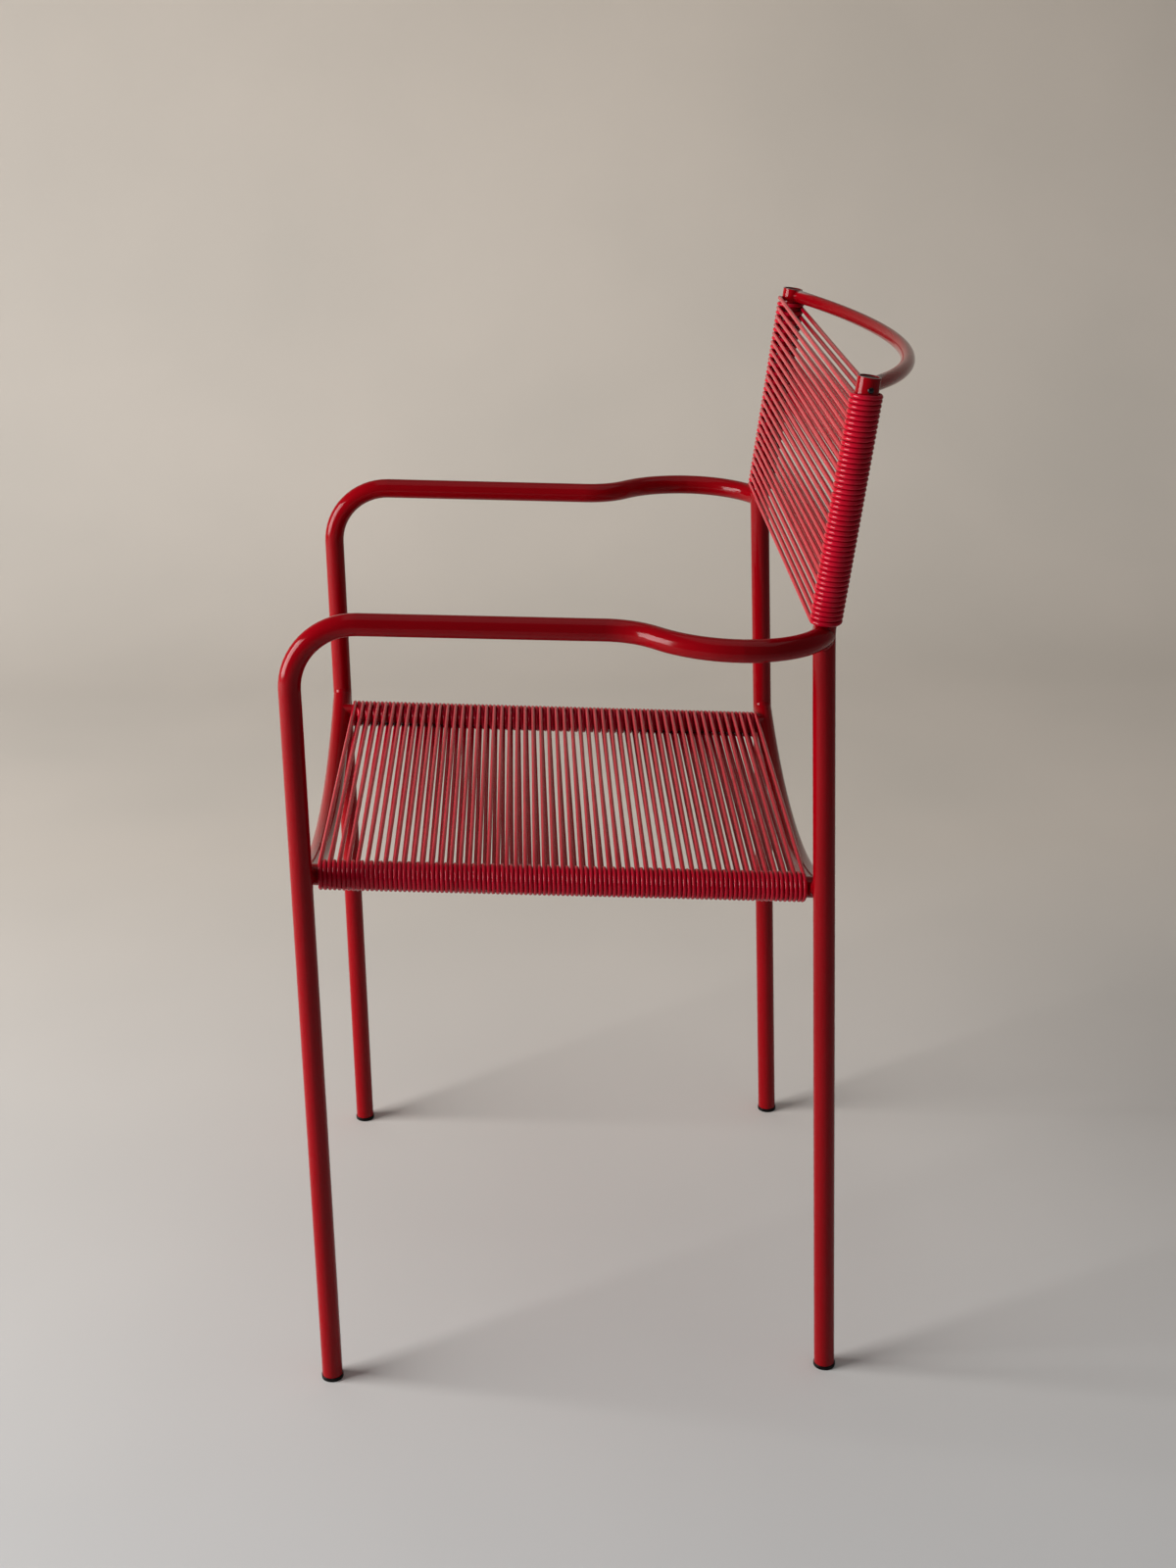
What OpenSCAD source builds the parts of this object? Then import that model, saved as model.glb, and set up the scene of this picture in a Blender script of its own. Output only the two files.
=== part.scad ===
// Armchair of bent steel tube with a cord seat and a cord back.
// Millimetres, +Z up, the sitter faces -Y, the floor is at Z = 0, and +X is the sitter's left.
// Every tube is a chain of straights and bends, each starting where the last one ended.

/* [Tubes] */
// Outer diameter of the main tube
tube_d = 17.2; // [16:0.1:20]
// Wall of the main tube
tube_wall = 1.5; // [1:0.1:2.5]
// Outer diameter of the thin tube of the top bow
bow_d = 11; // [8:0.5:14]
// Wall of the thin tube
bow_wall = 1.2; // [0.8:0.1:2]
// Gap left at each welded end for the bead
weld_gap = 0.1; // [0.05:0.05:0.3]

/* [Legs] */
// Distance between the left and the right leg axes
leg_spacing = 424; // [400:1:460]
// Distance between the front and the rear foot centres
foot_spacing = 418.5; // [400:0.5:450]
// Forward lean of the rear legs below the arms, in degrees
rear_lean = 1.9; // [1:0.1:3]
// Centreline radius of the bend in the rear legs
rear_bend_r = 60; // [40:1:70]
// Height of that bend above the arm's axis
rear_bend_rise = 3.5; // [2:0.5:12]

/* [Arms] */
// Height at which the arm axis meets the front leg axis
arm_height = 668.5; // [650:0.5:690]
// Slope of the arms down towards the back, in degrees
arm_slope = 2.45; // [1:0.05:4]
// Centreline radius of the bend from front leg to arm
front_bend_r = 50; // [35:1:60]
// Angle by which the arm swings outwards, in degrees
swing_angle = 45; // [35:1:50]
// Centreline radius where the arm starts to swing out
swing_out_r = 50; // [40:1:60]
// Straight length at the steepest part of the swing
swing_straight = 8; // [3:0.5:12]
// Centreline radius where the arm turns parallel again
swing_top_r = 80; // [65:1:90]
// Centreline radius where the arm returns to the rear leg
return_r = 70; // [60:1:80]

/* [Back] */
// Backward lean of the uprights above the arms, in degrees
back_lean = 7.9; // [4:0.1:12]
// Length of an upright from its bend to its top
upright_len = 189; // [180:1:210]
// Depth of the bow from its ends to its middle
bow_depth = 58; // [45:1:70]
// Distance of the bow's ends behind the upright axes
bow_setback = 2.5; // [0:0.5:4]
// Distance from the top of an upright down to the bow's upper side
bow_drop = 0.3; // [0:0.1:3]

/* [Seat] */
// Height at which the front cross tube meets the front legs
front_cross_height = 466.5; // [450:0.5:480]
// Height at which the rear cross tube meets the rear legs
rear_cross_height = 445; // [430:0.5:460]
// Dip of the front cross tube at its middle
front_dip = 47; // [35:1:60]
// Dip of the rear cross tube at its middle
rear_dip = 43; // [35:1:60]
// Distance from a leg axis in to the seat rail axis
rail_inset = 25; // [22:0.5:32]

/* [Cord] */
// Diameter of the cord
cord_d = 3.6; // [3:0.1:4]
// Clearance between the cord and the tube that it is wound on
cord_gap = 0.3; // [0.2:0.05:0.5]
// Bare length of seat rail between a cross tube and the nearest turn
seat_cord_margin = 2.2; // [2:0.1:6]
// Bare height of upright between the arm and the first turn
back_cord_margin = 1.2; // [1:0.1:6]
// Bare length of upright between the bow and the last turn
bow_cord_margin = 0.5; // [0.5:0.1:5]
// Loops of cord round the seat, each a top and a bottom strand
seat_loops = 24; // [12:1:24]
// Loops of cord round the back, each a front and a rear strand
back_loops = 22; // [12:1:22]

/* [Caps] */
// Height of a foot cap's rim
foot_rim_h = 3.5; // [2:0.5:8]
// Width by which a foot cap's rim stands proud of the tube
foot_rim_proud = 0.6; // [0.3:0.1:1.5]
// Length of the plug of a foot cap or a top cap inside the tube
cap_plug_len = 12; // [8:1:20]
// Clearance between a plug and its bore, and between a rim and the tube's end
plug_gap = 0.1; // [0.05:0.05:0.3]
// Depth of a top cap below the rim of the upright
top_recess = 0.8; // [0.3:0.1:2]
// Diameter of the hole for the small plug beside the last turn
cord_plug_hole_d = 3.6; // [3:0.1:4]
// Diameter of the small plug's head
cord_plug_head_d = 4.4; // [4.2:0.1:5]
// Distance from the top of an upright down to the small plug
cord_plug_drop = 8.6; // [6:0.1:8.8]
// Angle of the small plug behind the side of the upright, in degrees
cord_plug_turn = 7; // [0:1:30]

/* [Hidden] */
$fn = 48;
arc_fn = 360;

lacquer = "#8e0616";
cord_red = "#a3202e";
black = "#161414";
worn = "#6b3a3a";

leg_x = leg_spacing/2;
front_y = -foot_spacing;
tube_r = tube_d/2;
tube_bore = tube_d - 2*tube_wall;
cope_d = tube_d + 2*weld_gap;
beyond = 1;
seam = 0.01;

// Rear legs. A rear foot stands at Y = 0 until the last step, which centres the chair.
// The arm's axis line and the leg's axis line cross at arm_end_height.
arm_end_height = (arm_height - foot_spacing*tan(arm_slope))/(1 - tan(rear_lean)*tan(arm_slope));
arm_end_y = -arm_end_height*tan(rear_lean);
rear_bend_height = arm_end_height + rear_bend_rise;
rear_bend_y = -rear_bend_height*tan(rear_lean);
rear_bend_angle = rear_lean + back_lean;
rear_bend_tangent = rear_bend_r*tan(rear_bend_angle/2);
rear_leg_straight = rear_bend_height/cos(rear_lean) - rear_bend_tangent;
upright_straight = upright_len - rear_bend_tangent;
upright_top_y = rear_bend_y + upright_len*sin(back_lean);
upright_top_z = rear_bend_height + upright_len*cos(back_lean);

// Arms. The swing takes the arm out sideways, and the return brings it to the rear leg's axis.
front_bend_angle = 90 + arm_slope;
front_bend_tangent = front_bend_r*tan(front_bend_angle/2);
swing_out = (swing_out_r + swing_top_r)*(1 - cos(swing_angle)) + swing_straight*sin(swing_angle);
swing_run = (swing_out_r + swing_top_r)*sin(swing_angle) + swing_straight*cos(swing_angle);
return_angle = acos(1 - swing_out/return_r);
arm_straight = (arm_end_y - front_y)/cos(arm_slope) - front_bend_tangent
  - swing_run - return_r*sin(return_angle);

// Seat rails. Their ends lie on the axes of the two dipped cross tubes.
rail_x = leg_x - rail_inset;
rear_cross_y = -rear_cross_height*tan(rear_lean);
front_cross_r = arc_radius(leg_x, front_dip);
rear_cross_r = arc_radius(leg_x, rear_dip);
rail_front_z = dipped_z(rail_x, front_cross_height, front_cross_r, front_dip);
rail_rear_z = dipped_z(rail_x, rear_cross_height, rear_cross_r, rear_dip);
rail_run = rear_cross_y - front_y;
rail_len = norm([rail_run, rail_front_z - rail_rear_z]);
rail_fall = atan((rail_front_z - rail_rear_z)/rail_run);

// Bow. It lies square to the uprights.
bow_r = arc_radius(leg_x, bow_depth);
bow_below_top = bow_drop + bow_d/2;
bow_back_y = upright_top_y - bow_below_top*sin(back_lean)
  + (bow_setback + bow_depth)*cos(back_lean) + bow_d/2;
mid_y = (front_y - tube_r - foot_rim_proud + bow_back_y)/2;

// Cord. A path is a list of points along the axis of one unbroken cord.
cord_sides = 6;
turn_step = 30;
wrap_r = (tube_r + cord_gap + cord_d/2)/cos(turn_step/2);
tuck_bend_r = 0.65*cord_d;
cord_hole_d = cord_d + 2*cord_gap;
seat_first = tube_r + seat_cord_margin + cord_d/2;
seat_span = rail_len - 2*seat_first;
back_first = (arm_end_height + tube_r - rear_bend_height)/cos(back_lean) + back_cord_margin + cord_d/2;
back_last = upright_len - bow_drop - bow_d - bow_cord_margin - cord_d/2;
back_span = back_last - back_first;
points_per_loop = 2*(180/turn_step + 1);

// Radius of an arc from its half chord and its depth
function arc_radius(half, depth) = (half*half + depth*depth)/(2*depth);

// Height of a dipped cross tube's axis at a distance x from the middle
function dipped_z(x, end_z, r, dip) = end_z - dip + r - sqrt(r*r - x*x);

// The start of a winding: out of a hole in the tube's inner side, then a quarter turn.
// Each point has its distance in from the tube's axis, its height over it and its part of a turn.
lead = let(hole_r = wrap_r - tuck_bend_r) concat(
  [[hole_r - cord_d, 0, 0]],
  [for (a = [0:30:90]) [hole_r + tuck_bend_r*sin(a), tuck_bend_r*(1 - cos(a)), 0]],
  [for (a = [turn_step:turn_step:90 - turn_step]) [wrap_r*cos(a), wrap_r*sin(a), a/360]]);

// Points of one winding round two parallel tubes: x across towards the first tube, z along
// the tubes, and the first strand on the side away from y. A loop goes round the outer side
// of the first tube and then of the other.
function winding(half, loops, span) =
  let(climb = span/loops) concat(
    [for (p = lead) [half - p[0], p[1], climb*p[2]/2]],
    [for (loop = [0:loops - 1], side = [1, -1], a = [90:-turn_step:-90])
      [side*(half + wrap_r*cos(a)), side*wrap_r*sin(a),
       climb*(loop + (side == 1 ? 0 : 0.5) + (90 - a)/720 + 0.125)]],
    [for (i = [len(lead) - 1:-1:0]) let(p = lead[i]) [p[0] - half, p[1], span - climb*p[2]/2]]);

seat_path = winding(rail_x, seat_loops, seat_span);
back_path = winding(leg_x, back_loops, back_span);

// Least gap of a cord to itself, between stretches half a loop or more apart
function least_gap(path) = min([
  for (i = [0:len(path) - 2], j = [i + points_per_loop/2:1:min(i + 2*points_per_loop, len(path) - 2)])
    for (a = [path[i], (path[i] + path[i + 1])/2], b = [path[j], (path[j] + path[j + 1])/2])
      norm(a - b)]) - cord_d;
echo(seat_cord_least_gap = least_gap(seat_path), back_cord_least_gap = least_gap(back_path));

function unit(v) = v/norm(v);

// Direction of a path at a point: midway between those of its two stretches there
function heading(path, i) =
  let(last = len(path) - 1)
  unit((i > 0 ? unit(path[i] - path[i - 1]) : [0, 0, 0])
    + (i < last ? unit(path[i + 1] - path[i]) : [0, 0, 0]));

// Ring of points round the cord. The wound tubes' own direction, Z, is never along the cord.
function ring(path, i) =
  let(t = heading(path, i), a = unit(cross(t, [0, 0, 1])), b = cross(t, a))
  [for (k = [0:cord_sides - 1])
    path[i] + cord_d/2*(a*cos(360*k/cord_sides) + b*sin(360*k/cord_sides))];

module cord(path) {
  rings = len(path);
  last = (rings - 1)*cord_sides;
  polyhedron(
    points = [for (i = [0:rings - 1]) each ring(path, i)],
    faces = concat(
      [for (i = [0:rings - 2], k = [0:cord_sides - 1])
        let(a = i*cord_sides + k, b = i*cord_sides + (k + 1)%cord_sides)
        each [[a, b, b + cord_sides], [a, b + cord_sides, a + cord_sides]]],
      [for (k = [1:cord_sides - 2]) [0, k + 1, k]],
      [for (k = [1:cord_sides - 2]) [last, last + k, last + k + 1]]));
}

// A straight stretch of tube along Z, then its children at its end
module straight(length, d) {
  cylinder(h = length, d = d);
  translate([0, 0, length]) children();
}

// A bend that leaves along Z and turns towards X, itself turned about Z by roll.
// A ball a hair wider than the tube closes the seam at each end of the bend.
module bend(r, angle, roll, d) {
  sphere(d = d + seam);
  rotate([0, 0, roll]) {
    translate([r, 0, 0])
      rotate([90, 0, 180])
        rotate_extrude(angle = angle)
          translate([r, 0])
            circle(d = d);
    translate([r - r*cos(angle), 0, r*sin(angle)])
      rotate([0, angle, 0])
        rotate([0, 0, -roll]) {
          sphere(d = d + seam);
          children();
        }
  }
}

// Moves the chair so that its box is centred on Y = 0
module centred() {
  translate([0, -mid_y, 0]) children();
}

module right_side() {
  mirror([1, 0, 0]) children();
}

// Solid outline of the left front leg and arm, from a height up and back to the rear leg's axis
module front_leg_run(d, low) {
  translate([leg_x, front_y, low])
    straight(arm_height - front_bend_tangent - low, d)
      bend(front_bend_r, front_bend_angle, 90, d)
        straight(arm_straight, d)
          bend(swing_out_r, swing_angle, 0, d)
            straight(swing_straight, d)
              bend(swing_top_r, swing_angle, 180, d)
                bend(return_r, return_angle, 180, d);
}

// Solid outline of a rear leg and upright, with overshoot at both ends for cutting
module rear_leg_run(x, d, overshoot) {
  translate([x, 0, 0])
    rotate([rear_lean, 0, 0])
      translate([0, 0, -overshoot])
        straight(rear_leg_straight + overshoot, d)
          bend(rear_bend_r, rear_bend_angle, 90, d)
            straight(upright_straight + overshoot, d);
}

// Everything below the rims of the foot caps, for cutting
module floor_block() {
  side = 2*leg_spacing;
  translate([-side/2, -side/2, foot_rim_h - side]) cube(side);
}

// Places children at the top of an upright, with Z along it
module at_upright_top(x) {
  translate([x, upright_top_y, upright_top_z])
    rotate([-back_lean, 0, 0])
      children();
}

// Places children on the line of a seat rail, with Z along it from the front and Y up
module along_rail(x) {
  translate([x, front_y, rail_front_z])
    rotate([-90 - rail_fall, 0, 0])
      rotate([0, 0, 180])
        children();
}

// Hole for an end of the cord, in the inner side of a tube that runs along Z
module cord_hole(z, inwards) {
  translate([0, 0, z])
    rotate([0, 90*inwards, 0])
      cylinder(h = tube_d, d = cord_hole_d);
}

// Places children at the small plug, with Z out of the upright
module at_cord_plug() {
  at_upright_top(leg_x)
    translate([0, 0, -cord_plug_drop])
      rotate([0, 0, cord_plug_turn])
        rotate([0, 90, 0])
          children();
}

module front_leg_and_arm() {
  color(lacquer)
    centred()
      difference() {
        front_leg_run(tube_d, foot_rim_h);
        front_leg_run(tube_bore, foot_rim_h - beyond);
        rear_leg_run(leg_x, cope_d, beyond);
      }
}

// A rear leg and upright, less its children
module rear_leg(x) {
  color(lacquer)
    centred()
      difference() {
        rear_leg_run(x, tube_d, 0);
        rear_leg_run(x, tube_bore, beyond);
        floor_block();
        children();
      }
}

// The small plug's hole, and the hole in which the back cord ends
module left_rear_leg() {
  rear_leg(leg_x) {
    at_cord_plug() cylinder(h = tube_d, d = cord_plug_hole_d);
    at_upright_top(leg_x) cord_hole(back_last - upright_len, -1);
  }
}

// The hole in which the back cord starts
module right_rear_leg() {
  rear_leg(-leg_x) {
    at_upright_top(-leg_x) cord_hole(back_first - upright_len, 1);
  }
}

// An arc between the legs, in an upright plane, lowest in the middle
module dipped_run(y, end_z, r, dip, d) {
  sweep = 2*asin(leg_x/r);
  translate([0, y, end_z - dip + r])
    rotate([90, 0, 0])
      rotate([0, 0, -90 - sweep/2])
        rotate_extrude(angle = sweep, $fn = arc_fn)
          translate([r, 0])
            circle(d = d);
}

module front_cross_run(d) {
  dipped_run(front_y, front_cross_height, front_cross_r, front_dip, d);
}

module rear_cross_run(d) {
  dipped_run(rear_cross_y, rear_cross_height, rear_cross_r, rear_dip, d);
}

module front_cross_tube() {
  color(lacquer)
    centred()
      difference() {
        front_cross_run(tube_d);
        front_cross_run(tube_bore);
        for (x = [-leg_x, leg_x])
          translate([x, front_y, 0])
            cylinder(h = arm_height - front_bend_tangent, d = cope_d);
      }
}

module rear_cross_tube() {
  color(lacquer)
    centred()
      difference() {
        rear_cross_run(tube_d);
        rear_cross_run(tube_bore);
        for (x = [-leg_x, leg_x])
          rear_leg_run(x, cope_d, 0);
      }
}

// A seat rail with the hole for one end of the cord, at a distance along it
module seat_rail(x, hole_at, inwards) {
  color(lacquer)
    centred()
      difference() {
        along_rail(x)
          difference() {
            cylinder(h = rail_len, d = tube_d);
            translate([0, 0, -beyond]) cylinder(h = rail_len + 2*beyond, d = tube_bore);
            cord_hole(hole_at, inwards);
          }
        front_cross_run(cope_d);
        rear_cross_run(cope_d);
      }
}

module bow_run(d) {
  sweep = 2*asin(leg_x/bow_r);
  at_upright_top(0)
    translate([0, bow_setback + bow_depth - bow_r, -bow_below_top])
      rotate([0, 0, 90 - sweep/2])
        rotate_extrude(angle = sweep, $fn = arc_fn)
          translate([bow_r, 0])
            circle(d = d);
}

module top_bow() {
  color(lacquer)
    centred()
      difference() {
        bow_run(bow_d);
        bow_run(bow_d - 2*bow_wall);
        for (x = [-leg_x, leg_x])
          rear_leg_run(x, cope_d, beyond);
      }
}

// The cord starts on the right rail, at the front, and its first strand is on top
module seat_cord() {
  color(cord_red)
    centred()
      along_rail(0)
        mirror([0, 1, 0])
          translate([0, 0, seat_first])
            cord(seat_path);
}

// The cord starts on the right upright, at the bottom, and its first strand is in front
module back_cord() {
  color(cord_red)
    centred()
      at_upright_top(0)
        translate([0, 0, back_first - upright_len])
          mirror([1, 0, 0])
            cord(back_path);
}

// A stem in the hole and a domed head on the tube
module cord_plug() {
  head_h = cord_plug_head_d/4;
  dome_r = arc_radius(cord_plug_head_d/2, head_h);
  color(black)
    centred()
      at_cord_plug() {
        translate([0, 0, tube_bore/2 - beyond])
          cylinder(h = tube_wall + 1.5*beyond, d = cord_plug_hole_d - 2*plug_gap);
        translate([0, 0, tube_r + plug_gap])
          intersection() {
            translate([0, 0, head_h - dome_r]) sphere(r = dome_r);
            cylinder(h = head_h, d = cord_plug_head_d);
          }
      }
}

module foot_cap(x, y, lean) {
  color(black)
    centred()
      translate([x, y, 0]) {
        cylinder(h = foot_rim_h - plug_gap, d = tube_d + 2*foot_rim_proud);
        rotate([lean, 0, 0])
          translate([0, 0, foot_rim_h/2])
            cylinder(h = foot_rim_h/2 + cap_plug_len, d = tube_bore - 2*plug_gap);
      }
}

module top_cap(x) {
  color(worn)
    centred()
      at_upright_top(x)
        translate([0, 0, -top_recess - cap_plug_len])
          cylinder(h = cap_plug_len, d = tube_bore - 2*plug_gap);
}

front_leg_and_arm();  // left_front_leg_and_arm
right_side() front_leg_and_arm();  // right_front_leg_and_arm
left_rear_leg();
right_rear_leg();
front_cross_tube();
rear_cross_tube();
seat_rail(rail_x, seat_first + seat_span, 1);  // left_seat_rail
seat_rail(-rail_x, seat_first, -1);  // right_seat_rail
top_bow();
seat_cord();
back_cord();
cord_plug();
foot_cap(leg_x, front_y, 0);  // left_front_foot_cap
foot_cap(-leg_x, front_y, 0);  // right_front_foot_cap
foot_cap(leg_x, 0, rear_lean);  // left_rear_foot_cap
foot_cap(-leg_x, 0, rear_lean);  // right_rear_foot_cap
top_cap(leg_x);  // left_top_cap
top_cap(-leg_x);  // right_top_cap
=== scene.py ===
import math
import random

import bpy
from mathutils import Matrix, Vector


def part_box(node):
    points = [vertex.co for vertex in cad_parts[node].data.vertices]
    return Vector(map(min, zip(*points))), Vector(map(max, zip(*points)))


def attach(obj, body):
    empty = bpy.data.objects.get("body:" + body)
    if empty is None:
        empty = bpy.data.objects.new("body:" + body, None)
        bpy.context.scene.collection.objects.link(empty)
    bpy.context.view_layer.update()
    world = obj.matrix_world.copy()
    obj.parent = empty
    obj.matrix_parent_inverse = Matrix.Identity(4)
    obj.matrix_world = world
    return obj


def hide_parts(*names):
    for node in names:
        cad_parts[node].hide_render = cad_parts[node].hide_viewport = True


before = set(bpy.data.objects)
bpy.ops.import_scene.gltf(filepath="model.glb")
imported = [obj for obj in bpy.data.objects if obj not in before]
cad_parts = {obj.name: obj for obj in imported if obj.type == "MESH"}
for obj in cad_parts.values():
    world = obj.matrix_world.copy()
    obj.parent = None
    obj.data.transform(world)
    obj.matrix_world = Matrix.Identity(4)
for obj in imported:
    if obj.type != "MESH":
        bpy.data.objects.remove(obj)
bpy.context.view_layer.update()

# Looks of the cord armchair, in metres, in the frame's own axes: +Z is up, the sitter faces -Y,
# and the near side in the photograph is the sitter's left, +X.

MM = 0.001


def middle(name):
    """Middle of a CAD node's box."""
    low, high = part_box(name)
    return (low + high) / 2


# Driving dimensions of the construction, in metres and radians

TUBE_R = 8.6 * MM
BOW_R = 5.5 * MM
WELD_GAP = 0.1 * MM
CAP_PLUG_R = 7 * MM
LEG_X = middle("left_rear_leg").x
RAIL_X = middle("left_seat_rail").x
FRONT_Y = middle("left_front_foot_cap").y
REAR_FOOT_Y = middle("left_rear_foot_cap").y
REAR_LEAN = math.radians(1.9)
BACK_LEAN = math.radians(7.9)
REAR_BEND_Z = 655.0 * MM
UPRIGHT_LEN = 189 * MM
FRONT_CROSS_Z = 466.5 * MM
REAR_CROSS_Z = 445 * MM
FRONT_DIP = 47 * MM
REAR_DIP = 43 * MM
ARM_RETURN = math.radians(68)
ARM_SLOPE = math.radians(2.45)
ARM_END_Z = 651.5 * MM
BOW_DEPTH = 58 * MM
BOW_SETBACK = 2.5 * MM
BOW_BELOW_TOP = 5.8 * MM
CORD_R = 1.8 * MM
CORD_CLEARANCE = 0.05 * MM
WRAP_R = TUBE_R + CORD_R + CORD_CLEARANCE
CORD_PLUG_TURN = math.radians(7)
CORD_PLUG_DROP = 8.6 * MM
SIDES = (1, "left"), (-1, "right")

UP = Vector((0, 0, 1))
LEG_AXIS = Vector((0, -math.sin(REAR_LEAN), math.cos(REAR_LEAN)))
UPRIGHT_AXIS = Vector((0, math.sin(BACK_LEAN), math.cos(BACK_LEAN)))
BACKWARDS = Vector((0, math.cos(BACK_LEAN), -math.sin(BACK_LEAN)))


def rear_leg_point(side, height):
    """Point on a rear leg's axis below the arms. side is 1 for the left leg, -1 for the right."""
    return Vector((side * LEG_X, REAR_FOOT_Y - height * math.tan(REAR_LEAN), height))


def upright_point(side, distance):
    """Point on an upright's axis, at a distance along it from the bend above the arm."""
    return rear_leg_point(side, REAR_BEND_Z) + distance * UPRIGHT_AXIS


def arc_radius(half_width, rise):
    """Radius of an arc, from its half width and its rise."""
    return (half_width**2 + rise**2) / (2 * rise)


def dipped_z(x, end_z, dip):
    """Height of a dipped cross tube's axis at a distance x from the middle."""
    r = arc_radius(LEG_X, dip)
    return end_z - dip + r - math.sqrt(r**2 - x**2)


def cross_slope(x, dip):
    """Slope of a dipped cross tube at a distance x from the middle, in radians."""
    return math.asin(x / arc_radius(LEG_X, dip))


REAR_CROSS_Y = rear_leg_point(1, REAR_CROSS_Z).y
RAIL_FRONT = Vector((0, FRONT_Y, dipped_z(RAIL_X, FRONT_CROSS_Z, FRONT_DIP)))
RAIL_REAR = Vector((0, REAR_CROSS_Y, dipped_z(RAIL_X, REAR_CROSS_Z, REAR_DIP)))
RAIL_AXIS = RAIL_REAR - RAIL_FRONT


# Mesh helpers

def new_object(name, points, faces, material):
    """A smooth-shaded piece that rides on the chair's one body."""
    mesh = bpy.data.meshes.new(name)
    mesh.from_pydata([tuple(p) for p in points], [], faces)
    mesh.polygons.foreach_set("use_smooth", [True] * len(mesh.polygons))
    mesh.materials.append(material)
    mesh.update()
    piece = bpy.data.objects.new(name, mesh)
    bpy.context.scene.collection.objects.link(piece)
    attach(piece, "root")
    return piece


def ring_faces(rings, sides, closed_ring=True, closed_run=False):
    """Quads between neighbouring rings of points. A run of rings may close on itself."""
    last = sides if closed_ring else sides - 1
    return [
        (i * sides + k, i * sides + (k + 1) % sides,
         (i + 1) % rings * sides + (k + 1) % sides, (i + 1) % rings * sides + k)
        for i in range(rings if closed_run else rings - 1)
        for k in range(last)
    ]


def lathe(name, profile, place, material, segments=64):
    """A closed turned piece. The profile runs from the axis to the axis as (radius, height)."""
    inner = profile[1:-1]
    points = [place @ Vector((0, 0, profile[0][1])), place @ Vector((0, 0, profile[-1][1]))]
    for k in range(segments):
        a = 2 * math.pi * k / segments
        points += [place @ Vector((r * math.cos(a), r * math.sin(a), z)) for r, z in inner]
    n = len(inner)
    faces = []
    for k in range(segments):
        here, there = 2 + k * n, 2 + (k + 1) % segments * n
        faces.append((0, there, here))
        faces += [(here + i, there + i, there + i + 1, here + i + 1) for i in range(n - 1)]
        faces.append((1, here + n - 1, there + n - 1))
    return new_object(name, points, faces, material)


def axes(origin, z, x):
    """A matrix with its Z along z and its X as near to x as it can be."""
    z = z.normalized()
    x = (x - x.dot(z) * z).normalized()
    y = z.cross(x)
    return Matrix(((x.x, y.x, z.x, origin.x), (x.y, y.y, z.y, origin.y),
                   (x.z, y.z, z.z, origin.z), (0, 0, 0, 1)))


# Material helpers

def add(tree, kind, inputs=None, **settings):
    """A node with its settings, its plain values and its links."""
    made = tree.nodes.new(kind)
    for key, value in settings.items():
        setattr(made, key, value)
    for key, value in (inputs or {}).items():
        if isinstance(value, bpy.types.NodeSocket):
            tree.links.new(value, made.inputs[key])
        else:
            made.inputs[key].default_value = value
    return made


def new_material(name):
    """An empty node material with its Principled shader."""
    material = bpy.data.materials.new(name)
    material.use_nodes = True
    tree = material.node_tree
    shader = tree.nodes["Principled BSDF"]
    return material, tree, shader


def mix_colour(tree, factor, a, b):
    """Colour a where the factor is 0 and b where it is 1."""
    made = add(tree, "ShaderNodeMix", data_type="RGBA")
    for socket, value in zip((made.inputs[0], made.inputs[6], made.inputs[7]), (factor, a, b)):
        if isinstance(value, bpy.types.NodeSocket):
            tree.links.new(value, socket)
        else:
            socket.default_value = value
    return made.outputs[2]


def span(tree, value, low, high, to_low=0.0, to_high=1.0):
    """Maps a value from low..high to to_low..to_high, held at both ends."""
    return add(tree, "ShaderNodeMapRange", {
        "Value": value, "From Min": low, "From Max": high, "To Min": to_low, "To Max": to_high,
    }).outputs["Result"]


def maths(tree, operation, a, b=0.0):
    """One arithmetic step on two values, such as MULTIPLY or MAXIMUM."""
    return add(tree, "ShaderNodeMath", {0: a, 1: b}, operation=operation).outputs[0]


def noise(tree, position, scale, detail=2.0, roughness=0.5):
    """Soft noise from 0 to 1, with its scale in waves a metre."""
    return add(tree, "ShaderNodeTexNoise", {
        "Vector": position, "Scale": scale, "Detail": detail, "Roughness": roughness,
    }).outputs["Fac"]


def spots(tree, position, scale, share, size):
    """Sparse round spots: a share of the cells of a random grid hold one."""
    cells = add(tree, "ShaderNodeTexVoronoi", {"Vector": position, "Scale": scale})
    pick = add(tree, "ShaderNodeSeparateColor", {"Color": cells.outputs["Color"]}).outputs["Red"]
    chosen = maths(tree, "GREATER_THAN", pick, 1 - share)
    inside = span(tree, cells.outputs["Distance"], size, 0.6 * size)
    return maths(tree, "MULTIPLY", chosen, inside)


def bumped(tree, shader, height, distance, strength=1.0):
    """Bump on the shader's normal, with its full height in metres."""
    bump = add(tree, "ShaderNodeBump",
               {"Height": height, "Distance": distance, "Strength": strength})
    tree.links.new(bump.outputs["Normal"], shader.inputs["Normal"])


# Colours in linear light. The papers have a darker and a brighter tone.

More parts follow.
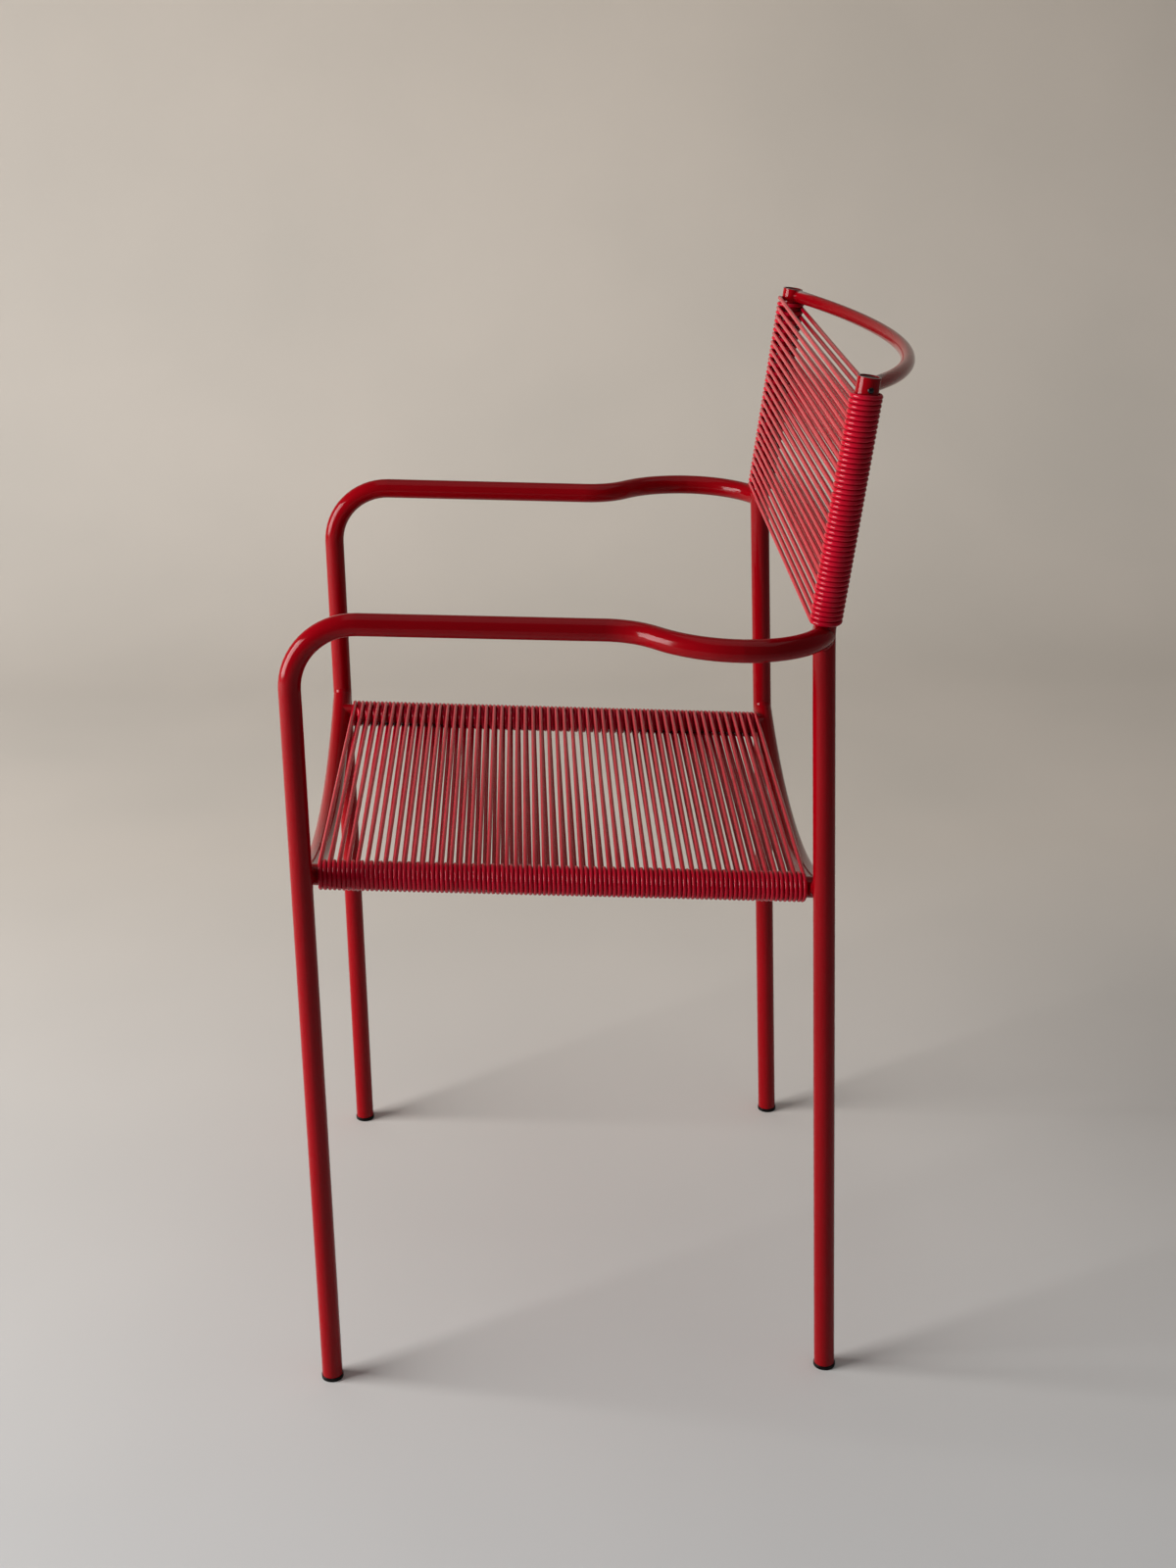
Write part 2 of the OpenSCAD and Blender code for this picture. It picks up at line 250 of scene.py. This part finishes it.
LACQUER_DEEP = (0.225, 0.0002, 0.003, 1)
LACQUER_BRIGHT = (0.255, 0.0003, 0.004, 1)
NICK_COLOUR = (0.09, 0.006, 0.006, 1)
WORN_COLOUR = (0.32, 0.28, 0.26, 1)
CORD_DEEP = (0.40, 0.001, 0.013, 1)
CORD_BRIGHT = (0.46, 0.0018, 0.019, 1)
CORD_DUST = (0.42, 0.04, 0.05, 1)
BLACK_CLEAN = (0.003, 0.002, 0.002, 1)
BLACK_SCUFFED = (0.014, 0.012, 0.012, 1)
CAP_DARK = (0.035, 0.016, 0.016, 1)
CAP_DUSTY = (0.09, 0.055, 0.05, 1)
PAPER_WARM = (0.65, 0.60, 0.535, 1), (0.70, 0.64, 0.57, 1)
PAPER_GREY = (0.61, 0.62, 0.625, 1), (0.64, 0.65, 0.655, 1)
# Painted shade: a darker tone mixed into the paper high up on the wall.
PAPER_PAINTED_SHADE_HIGH = (0.30, 0.255, 0.21, 1)
# Painted shade: a grey mixed into the floor in front of the chair, on the window's side.
PAPER_PAINTED_SHADE_FRONT = (0.30, 0.30, 0.30, 1)

# Nicks in the lacquer: cells a metre, the share of them with a nick, and a nick's size in cells

NICK_CELLS = 55
NICK_SHARE = 0.035
NICK_SIZE = 0.075


def lacquer_material():
    """Glossy red lacquer with a little orange peel, a few nicks and worn upper rims."""
    material, tree, shader = new_material("red_lacquer")
    position = add(tree, "ShaderNodeTexCoord").outputs["Object"]
    tone = noise(tree, position, 7, 3)
    colour = mix_colour(tree, span(tree, tone, 0.35, 0.65), LACQUER_DEEP, LACQUER_BRIGHT)
    nicks = spots(tree, position, NICK_CELLS, NICK_SHARE, NICK_SIZE)
    colour = mix_colour(tree, nicks, colour, NICK_COLOUR)

    place = add(tree, "ShaderNodeNewGeometry")
    normal = add(tree, "ShaderNodeVectorMath", {0: place.outputs["Normal"], 1: tuple(UPRIGHT_AXIS)},
                 operation="DOT_PRODUCT").outputs["Value"]
    height = add(tree, "ShaderNodeSeparateXYZ", {"Vector": position}).outputs["Z"]
    top = upright_point(1, UPRIGHT_LEN).z
    rim = maths(tree, "MULTIPLY", span(tree, normal, 0.55, 0.8),
                span(tree, height, top - 3 * MM, top - 1.5 * MM))
    scuffs = span(tree, noise(tree, position, 900, 3), 0.36, 0.44)
    worn = maths(tree, "MULTIPLY", rim, scuffs)
    colour = mix_colour(tree, worn, colour, WORN_COLOUR)
    tree.links.new(colour, shader.inputs["Base Color"])

    haze = span(tree, noise(tree, position, 45, 4), 0.3, 0.75, 0.09, 0.17)
    damage = maths(tree, "MAXIMUM", nicks, worn)
    rough = maths(tree, "MAXIMUM", haze, maths(tree, "MULTIPLY", damage, 0.55))
    tree.links.new(rough, shader.inputs["Roughness"])
    shader.inputs["Specular IOR Level"].default_value = 0.15
    peel = noise(tree, position, 420, 1)
    relief = maths(tree, "SUBTRACT", maths(tree, "MULTIPLY", peel, 0.35), nicks)
    bumped(tree, shader, relief, 0.08 * MM, 0.3)
    return material


def cord_material():
    """Smooth solid plastic cord, satin, with faint tone changes and scuffs."""
    material, tree, shader = new_material("red_cord")
    position = add(tree, "ShaderNodeTexCoord").outputs["Object"]
    tone = noise(tree, position, 60, 3)
    colour = mix_colour(tree, span(tree, tone, 0.3, 0.7), CORD_DEEP, CORD_BRIGHT)
    dust = span(tree, noise(tree, position, 35, 4), 0.5, 0.8, 0, 0.12)
    colour = mix_colour(tree, dust, colour, CORD_DUST)
    tree.links.new(colour, shader.inputs["Base Color"])
    tree.links.new(span(tree, tone, 0.25, 0.75, 0.17, 0.24), shader.inputs["Roughness"])
    shader.inputs["Specular IOR Level"].default_value = 0.22
    return material


def black_plastic_material():
    """Moulded black plastic: scuffed and dull at the feet, clean and glossy on the small plug."""
    material, tree, shader = new_material("black_plastic")
    position = add(tree, "ShaderNodeTexCoord").outputs["Object"]
    height = add(tree, "ShaderNodeSeparateXYZ", {"Vector": position}).outputs["Z"]
    low = span(tree, height, 0.5, 0.1, 0.12, 1)
    scuff = maths(tree, "MULTIPLY", span(tree, noise(tree, position, 260, 4, 0.65), 0.5, 0.75), low)
    tree.links.new(mix_colour(tree, scuff, BLACK_CLEAN, BLACK_SCUFFED), shader.inputs["Base Color"])
    scuffed_rough = span(tree, scuff, 0, 1, 0.30, 0.5)
    rough = maths(tree, "MULTIPLY", scuffed_rough, span(tree, low, 0.12, 1, 0.5, 1))
    tree.links.new(rough, shader.inputs["Roughness"])
    tree.links.new(span(tree, low, 0.12, 1, 0.5, 0.1), shader.inputs["Specular IOR Level"])
    bumped(tree, shader, noise(tree, position, 1800, 2), 0.03 * MM, 0.4)
    return material


def cap_plastic_material():
    """Dark brown plastic of the top caps, worn and dusty."""
    material, tree, shader = new_material("cap_plastic")
    position = add(tree, "ShaderNodeTexCoord").outputs["Object"]
    patch = span(tree, noise(tree, position, 420, 4, 0.6), 0.4, 0.62)
    tree.links.new(mix_colour(tree, patch, CAP_DARK, CAP_DUSTY), shader.inputs["Base Color"])
    tree.links.new(span(tree, patch, 0, 1, 0.4, 0.6), shader.inputs["Roughness"])
    bumped(tree, shader, noise(tree, position, 1500, 2), 0.04 * MM, 0.4)
    return material


def paper_material():
    """Pale paper of the floor and backdrop with faint soft waves: warm on the wall, grey near the
    camera, with painted shade that makes it a little darker high up and in front of the chair."""
    material, tree, shader = new_material("pale_paper")
    position = add(tree, "ShaderNodeTexCoord").outputs["Object"]
    wave = noise(tree, position, 2.2, 2)
    warm = mix_colour(tree, span(tree, wave, 0.3, 0.7), *PAPER_WARM)
    grey = mix_colour(tree, span(tree, wave, 0.3, 0.7), *PAPER_GREY)
    place = add(tree, "ShaderNodeSeparateXYZ", {"Vector": position})
    colour = mix_colour(tree, span(tree, place.outputs["X"], -0.9, 0.6), warm, grey)
    # Painted shade: the paper darkens towards the top of the wall.
    painted_shade_high = span(tree, place.outputs["Z"], 0.2, 2.2, 0, 0.62)
    colour = mix_colour(tree, painted_shade_high, colour, PAPER_PAINTED_SHADE_HIGH)
    # Painted shade: the floor darkens towards the window's side in front of the chair.
    front = span(tree, place.outputs["Y"], 0.3, -1.5, 0, 0.32)
    colour = mix_colour(tree, front, colour, PAPER_PAINTED_SHADE_FRONT)
    tree.links.new(colour, shader.inputs["Base Color"])
    shader.inputs["Roughness"].default_value = 0.9
    shader.inputs["Specular IOR Level"].default_value = 0.2
    return material


LACQUER = lacquer_material()
CORD = cord_material()
BLACK = black_plastic_material()
CAP = cap_plastic_material()
PAPER = paper_material()

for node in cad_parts.values():
    node.data.materials.clear()
    node.data.materials.append(LACQUER)


# Windings. Angles round a tube are in degrees: points lie TURN_STEP or TUCK_STEP apart, and a cord
# comes out of its hole TUCK_END past the tube's inner side.

CORD_SEED = 7
TURN_STEP = 15
LAG_FADE = 20 * MM
STRAND_STEPS = 8
CORD_SIDES = 14
TUCK_BEND_R = 0.65 * 2 * CORD_R
TUCK_END = 25
TUCK_STEP = 15
LEAST_STEP = 0.2 * MM


def turned(tube, start, end, w_start, w_end):
    """Points round a tube between two angles: 0 is its outer side and 90 the first strands' side.
    The cord's distance along the tube goes from w_start to w_end, late at -90 by the tube's lag,
    which fades out at the end of the winding."""
    side, half, lag, lag_end = tube
    steps = max(1, round(abs(end - start) / TURN_STEP))
    points = []
    for i in range(steps + 1):
        t = i / steps
        a = math.radians(start + (end - start) * t)
        w = w_start + (w_end - w_start) * t
        late = lag * max(0, -math.sin(a)) ** 2 * min(1, max(0, (lag_end - w) / LAG_FADE))
        points.append((side * (half + WRAP_R * math.cos(a)), WRAP_R * math.sin(a), w - late))
    return points


def tucked(tube, w):
    """Points from inside a tube, out of the hole in its inner side, to the start of a turn."""
    side, half = tube[:2]
    hole = WRAP_R - TUCK_BEND_R
    points = [(side * (half - hole + 2 * CORD_R), 0, w)]
    for a in range(0, 91, TUCK_STEP):
        s = math.radians(a)
        across = half - hole - TUCK_BEND_R * math.sin(s)
        points.append((side * across, -TUCK_BEND_R * (1 - math.cos(s)), w))
    return points


def strand(start, end, rng, wobble):
    """Points between the ends of one straight strand, with the least bow sideways and down."""
    start, end = Vector(start), Vector(end)
    side, drop = rng.uniform(-wobble, wobble), rng.uniform(-wobble, wobble)
    points = []
    for i in range(1, STRAND_STEPS):
        t = i / STRAND_STEPS
        bow = math.sin(math.pi * t)
        points.append(tuple(start.lerp(end, t) + Vector((0, drop * bow, side * bow))))
    return points


def winding(half, strands, first_tube, second_tube, hole_ws, last_exit, lags, lag_end, rng, wobble):
    """Path of a cord wound round two tubes: x across towards the first tube, y towards the first
    strands, z along the tubes. Each visit to a tube takes one and a half turns, but the first and
    the last take less and have the cord's end in a hole. first_tube and second_tube give where
    their first and last turns pass the outer side, and last_exit where the last strand leaves the
    first tube."""
    passes = 2 * strands - 1
    one, two = (1, half, lags[0], lag_end), (-1, half, lags[1], lag_end)
    pitch_one = (first_tube[1] - first_tube[0]) / (passes - 1)
    pitch_two = (second_tube[1] - second_tube[0]) / (passes - 1)
    path = tucked(one, hole_ws[0])
    path += turned(one, -180 + TUCK_END, 0, hole_ws[0], first_tube[0])
    path += turned(one, 0, 90, first_tube[0], first_tube[0] + pitch_one / 4)[1:]
    for visit in range(strands):
        if visit > 0:
            w = first_tube[0] + (2 * visit - 1) * pitch_one
            if visit < strands - 1:
                turn = turned(one, -90, 450, w - pitch_one / 4, w + 1.25 * pitch_one)
            else:
                turn = turned(one, -90, 360, w - pitch_one / 4, w + pitch_one)
                turn += turned(one, 360, 450, w + pitch_one, last_exit)[1:]
            path += strand(path[-1], turn[0], rng, wobble) + turn
        w = second_tube[0] + 2 * visit * pitch_two
        path += strand(path[-1], (-half, WRAP_R, w - pitch_two / 4), rng, wobble)
        if visit < strands - 1:
            path += turned(two, 90, -450, w - pitch_two / 4, w + 1.25 * pitch_two)
    path += turned(two, 90, 0, w - pitch_two / 4, w)
    path += turned(two, 0, -180 + TUCK_END, w, hole_ws[1])[1:]
    path += reversed(tucked(two, hole_ws[1]))
    return path


def cord_piece(name, path, place, replaced):
    """One unbroken round cord along a path, with a flat end at each end."""
    path = [Vector(p) for p in path]
    kept = [path[0]]
    for p in path[1:]:
        if (p - kept[-1]).length > LEAST_STEP:
            kept.append(p)
    points = []
    for i, p in enumerate(kept):
        before = (p - kept[i - 1]).normalized() if i > 0 else Vector()
        after = (kept[i + 1] - p).normalized() if i < len(kept) - 1 else Vector()
        along = (before + after).normalized()
        a = along.cross(UP).normalized()
        b = along.cross(a)
        for k in range(CORD_SIDES):
            t = 2 * math.pi * k / CORD_SIDES
            points.append(place @ (p + CORD_R * (math.cos(t) * a + math.sin(t) * b)))
    faces = ring_faces(len(kept), CORD_SIDES)
    first = len(points) - CORD_SIDES
    faces.append(tuple(reversed(range(CORD_SIDES))))
    faces.append(tuple(range(first, len(points))))
    piece = new_object(name, points, faces, CORD)
    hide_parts(replaced)


rng = random.Random(CORD_SEED)

# The seat's cord starts on the right rail at the front and ends on the left rail at the back.
seat_path = winding(
    half=RAIL_X, strands=53,
    first_tube=(12.4 * MM, 393.6 * MM), second_tube=(12.8 * MM, 391.9 * MM),
    hole_ws=(12.6 * MM, 391.7 * MM), last_exit=394.5 * MM, lags=(0, 0.9 * MM), lag_end=500 * MM,
    rng=rng, wobble=0.15 * MM)
seat_place = axes(RAIL_FRONT, RAIL_AXIS, Vector((-1, 0, 0)))
cord_piece("seat_winding", seat_path, seat_place, "seat_cord")

# The back's cord starts on the right upright at the bottom and ends on the left upright at the top.
back_path = winding(
    half=LEG_X, strands=23,
    first_tube=(7.3 * MM, 177.3 * MM), second_tube=(7.3 * MM, 175.6 * MM),
    hole_ws=(8.2 * MM, 175.7 * MM), last_exit=179.6 * MM, lags=(-1 * MM, -1 * MM), lag_end=178 * MM,
    rng=rng, wobble=0.3 * MM)
back_place = axes(Vector((0, *rear_leg_point(1, REAR_BEND_Z).yz)), UPRIGHT_AXIS, Vector((-1, 0, 0)))
cord_piece("back_winding", back_path, back_place, "back_cord")


# Weld beads

BEAD_LEG = 2.4 * MM
RAIL_BEAD_LEG = 1.8 * MM
BOW_BEAD_LEG = 1.0 * MM
BOW_BEAD_DROP = 0.1 * MM
BEAD_STEPS = 6
BEAD_ANGLES = 72
BEAD_SWELL = 0.55
BEAD_SINK = 0.15 * MM
BEAD_ROOT = 0.4 * MM
EDGE_BAND = 0.9 * MM
COPE_BAND = 0.02 * MM
LEAST_EDGE_POINTS = 8


def coped_edge(node_name, main_point, main_axis, centre, reach):
    """Points round the outer edge of a tube's coped end, from the CAD node's own mesh."""
    cope = TUBE_R + WELD_GAP
    found = []
    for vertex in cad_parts[node_name].data.vertices:
        away = vertex.co - main_point
        distance = (away - away.dot(main_axis) * main_axis).length
        if abs(distance - cope) < COPE_BAND and (vertex.co - centre).length < reach:
            found.append(vertex.co.copy())
    return found


def on_loop(edge, angle):
    """Point of a closed loop at an angle, between the two nearest of its sorted points."""
    for (a0, p0), (a1, p1) in zip(edge, edge[1:] + [(edge[0][0] + 2 * math.pi, edge[0][1])]):
        if a0 <= angle <= a1 and a1 > a0:
            return p0.lerp(p1, (angle - a0) / (a1 - a0))
    a0, p0 = edge[-1]
    a1, p1 = edge[0]
    gap = a1 + 2 * math.pi - a0
    return p0.lerp(p1, (angle + 2 * math.pi - a0) / gap)


def weld_bead(name, node_name, main_point, main_axis, branch_point, branch_axis, branch_r, leg,
              highest=math.inf):
    """A small smooth fillet between the coped end of a branch tube, the CAD node, and the side of
    the main tube. Nothing of it goes further along the main tube than highest."""
    main_axis, branch_axis = main_axis.normalized(), branch_axis.normalized()
    x = branch_axis.orthogonal().normalized()
    y = branch_axis.cross(x)
    edge = []
    for p in coped_edge(node_name, main_point, main_axis, branch_point, 3 * TUBE_R):
        away = p - branch_point
        radial = away - away.dot(branch_axis) * branch_axis
        if abs(radial.length - branch_r) < EDGE_BAND:
            edge.append((math.atan2(radial.dot(y), radial.dot(x)), p))
    edge.sort(key=lambda item: item[0])
    if len(edge) < LEAST_EDGE_POINTS:
        raise ValueError(f"{name}: only {len(edge)} points of the coped edge were found")
    points = []
    for k in range(BEAD_ANGLES):
        angle = -math.pi + 2 * math.pi * k / BEAD_ANGLES
        p = on_loop(edge, angle)
        away = p - main_point
        from_main = (away - away.dot(main_axis) * main_axis).normalized()
        away = p - branch_point
        from_branch = (away - away.dot(branch_axis) * branch_axis).normalized()
        ripple = 1 + 0.05 * math.sin(9 * angle) + 0.03 * math.sin(23 * angle)
        on_main = (from_branch - from_branch.dot(from_main) * from_main) * leg * ripple
        on_branch = (from_main - from_main.dot(from_branch) * from_branch) * leg * ripple
        p = p - BEAD_SINK * from_main
        for i in range(BEAD_STEPS):
            t = i / (BEAD_STEPS - 1)
            swell = BEAD_SWELL * t * (1 - t)
            points.append(p + on_main * ((1 - t) ** 2 + swell) + on_branch * (t**2 + swell))
        points.append(p - BEAD_ROOT * (from_main + from_branch))
    points = [p - max(0, (p - main_point).dot(main_axis) - highest) * main_axis for p in points]
    faces = ring_faces(BEAD_ANGLES, BEAD_STEPS + 1, closed_run=True)
    new_object(name, points, faces, LACQUER)


def slanted(side, slope):
    """Direction to a side and up at a slope."""
    return Vector((side * math.cos(slope), 0, math.sin(slope)))


for side, word in SIDES:
    for end, leg_point, leg_axis, dip in (
            ("front", Vector((side * LEG_X, FRONT_Y, FRONT_CROSS_Z)), UP, FRONT_DIP),
            ("rear", rear_leg_point(side, REAR_CROSS_Z), LEG_AXIS, REAR_DIP)):
        weld_bead(f"{word}_{end}_cross_weld", f"{end}_cross_tube", leg_point, leg_axis, leg_point,
                  -slanted(side, cross_slope(LEG_X, dip)), TUBE_R, BEAD_LEG)

    for end, middle_end, inwards, dip in (
            ("front", RAIL_FRONT, RAIL_AXIS, FRONT_DIP),
            ("rear", RAIL_REAR, -RAIL_AXIS, REAR_DIP)):
        rail_end = middle_end + Vector((side * RAIL_X, 0, 0))
        weld_bead(f"{word}_rail_{end}_weld", f"{word}_seat_rail", rail_end,
                  slanted(side, cross_slope(RAIL_X, dip)), rail_end, inwards, TUBE_R,
                  RAIL_BEAD_LEG)

    arm_end = rear_leg_point(side, ARM_END_Z)
    outwards = Vector((side * math.sin(ARM_RETURN), -math.cos(ARM_RETURN) * math.cos(ARM_SLOPE),
                       math.cos(ARM_RETURN) * math.sin(ARM_SLOPE)))
    weld_bead(f"{word}_arm_weld", f"{word}_front_leg_and_arm", arm_end, LEG_AXIS, arm_end,
              outwards, TUBE_R, BEAD_LEG)

    bow_height = upright_point(side, UPRIGHT_LEN - BOW_BELOW_TOP)
    slope = math.asin(LEG_X / arc_radius(LEG_X, BOW_DEPTH))
    along_bow = Vector((-side * math.cos(slope), 0, 0)) + math.sin(slope) * BACKWARDS
    weld_bead(f"{word}_bow_weld", "top_bow", bow_height, UPRIGHT_AXIS,
              bow_height + BOW_SETBACK * BACKWARDS, along_bow, BOW_R, BOW_BEAD_LEG,
              highest=BOW_BELOW_TOP - BOW_BEAD_DROP)


# Caps and plug

def foot_cap(word, end, foot):
    """A moulded cap on the end of a leg, with a rounded rim and a shallow ring in its underside."""
    rim, height, chamfer, plug = 9.2 * MM, 3.4 * MM, 0.5 * MM, 8 * MM
    profile = [(0, 0), (6.4 * MM, 0), (6.6 * MM, 0.15 * MM), (7.2 * MM, 0.15 * MM), (7.4 * MM, 0),
               (rim - chamfer, 0), (rim - 0.15 * chamfer, 0.4 * chamfer), (rim, chamfer),
               (rim, height - chamfer), (rim - 0.3 * chamfer, height - 0.3 * chamfer),
               (rim - chamfer, height), (CAP_PLUG_R, height),
               (CAP_PLUG_R, height + plug), (0, height + plug)]
    place = Matrix.Translation(foot)
    piece = lathe(f"{word}_{end}_foot_cap_moulded", profile, place, BLACK)
    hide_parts(f"{word}_{end}_foot_cap")


def top_cap(word, side):
    """The cap in the open end of an upright, a little below its rim and slightly dished."""
    face, edge, length = -0.8 * MM, 0.35 * MM, 12 * MM
    profile = [(0, face - length), (CAP_PLUG_R, face - length), (CAP_PLUG_R, face - edge),
               (CAP_PLUG_R - 0.3 * edge, face - 0.3 * edge), (CAP_PLUG_R - edge, face),
               (4.5 * MM, face - 0.15 * MM), (2 * MM, face - 0.3 * MM), (0, face - 0.35 * MM)]
    place = axes(upright_point(side, UPRIGHT_LEN), UPRIGHT_AXIS, Vector((1, 0, 0)))
    piece = lathe(f"{word}_top_cap_moulded", profile, place, CAP)
    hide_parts(f"{word}_top_cap")


def cord_plug():
    """The small black plug above the last turn of the left upright."""
    sideways = Vector((1, 0, 0))
    out = math.cos(CORD_PLUG_TURN) * sideways + math.sin(CORD_PLUG_TURN) * BACKWARDS
    place = axes(upright_point(1, UPRIGHT_LEN - CORD_PLUG_DROP), out, UPRIGHT_AXIS)
    head_r, stem_r, stem, dome = 2.2 * MM, 1.7 * MM, 2 * MM, 0.8 * MM
    head, rim = TUBE_R - 0.2 * MM, TUBE_R + 0.3 * MM
    profile = [(0, head - stem), (stem_r, head - stem), (stem_r, head), (head_r, head)]
    for a in range(0, 90, 15):
        s = math.radians(a)
        profile.append((head_r * math.cos(s), rim + dome * math.sin(s)))
    profile.append((0, rim + dome))
    piece = lathe("cord_plug_moulded", profile, place, BLACK, segments=40)
    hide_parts("cord_plug")


for side, word in SIDES:
    foot_cap(word, "front", Vector((side * LEG_X, FRONT_Y, 0)))
    foot_cap(word, "rear", Vector((side * LEG_X, REAR_FOOT_Y, 0)))
    top_cap(word, side)
cord_plug()


# Floor and backdrop

def studio_floor():
    """A floor that curves up into a wall behind the chair, as the photograph's camera sees it."""
    wall_x, curve_r, front_x, wall_z, half_width = -2.6, 1.0, 4.0, 3.6, 5.0
    profile = [(front_x, 0), (wall_x + curve_r, 0)]
    for a in range(6, 91, 6):
        s = math.radians(a)
        profile.append((wall_x + curve_r - curve_r * math.sin(s), curve_r - curve_r * math.cos(s)))
    profile.append((wall_x, wall_z))
    points = [(x, y, z) for x, z in profile for y in (-half_width, half_width)]
    faces = [(2 * i, 2 * i + 1, 2 * i + 3, 2 * i + 2) for i in range(len(profile) - 1)]
    mesh = bpy.data.meshes.new("studio_floor")
    mesh.from_pydata(points, [], faces)
    mesh.polygons.foreach_set("use_smooth", [True] * len(mesh.polygons))
    mesh.materials.append(PAPER)
    floor = bpy.data.objects.new("studio_floor", mesh)
    bpy.context.scene.collection.objects.link(floor)


studio_floor()


# Light

def area_light(name, place, target, size, power, colour):
    """A soft rectangular light that faces a target."""
    data = bpy.data.lights.new(name, "AREA")
    data.shape = "RECTANGLE"
    data.size, data.size_y = size
    data.energy = power
    data.color = colour
    light = bpy.data.objects.new(name, data)
    away = Vector(place) - Vector(target)
    turn = away.to_track_quat("Z", "Y").to_matrix().to_4x4()
    light.matrix_world = Matrix.Translation(Vector(place)) @ turn
    bpy.context.scene.collection.objects.link(light)


DAYLIGHT = (1, 0.98, 0.96)
ROOM_COLOUR = (0.95, 0.96, 1, 1)
ROOM_STRENGTH = 0.11

area_light("window", place=(0.6, -3.2, 1.25), target=(0, 0, 0.5), size=(2.2, 2.0), power=200,
           colour=DAYLIGHT)
area_light("ceiling", place=(0, 0.5, 3.4), target=(0, 0, 0.4), size=(3.0, 3.0), power=16,
           colour=DAYLIGHT)

world = bpy.data.worlds.new("room")
world.use_nodes = True
room = world.node_tree.nodes["Background"]
room.inputs["Color"].default_value = ROOM_COLOUR
room.inputs["Strength"].default_value = ROOM_STRENGTH
bpy.context.scene.world = world


# Camera, at the photograph's viewing angle

CAMERA_PLACE = Vector((1.6711, REAR_FOOT_Y - 0.2439, 1.1171))
CAMERA_YAW = math.radians(-0.886)
CAMERA_PITCH = math.radians(21.166)
CAMERA_ROLL = math.radians(-0.827)
IMAGE_W, IMAGE_H = 1200, 1600
FOCAL_PIXELS = 2113.7
AXIS_X, AXIS_Y = 567.3, 781.2

camera_data = bpy.data.cameras.new("photo_camera")
camera_data.lens = FOCAL_PIXELS / IMAGE_H * camera_data.sensor_width
camera_data.shift_x = (IMAGE_W / 2 - AXIS_X) / IMAGE_H
camera_data.shift_y = (AXIS_Y - IMAGE_H / 2) / IMAGE_H
camera = bpy.data.objects.new("photo_camera", camera_data)
camera.matrix_world = (
    Matrix.Translation(CAMERA_PLACE)
    @ Matrix.Rotation(math.pi / 2 + CAMERA_YAW, 4, "Z")
    @ Matrix.Rotation(math.pi / 2 - CAMERA_PITCH, 4, "X")
    @ Matrix.Rotation(CAMERA_ROLL, 4, "Z"))
bpy.context.scene.collection.objects.link(camera)
bpy.context.scene.camera = camera
bpy.context.scene.view_settings.view_transform = "Standard"
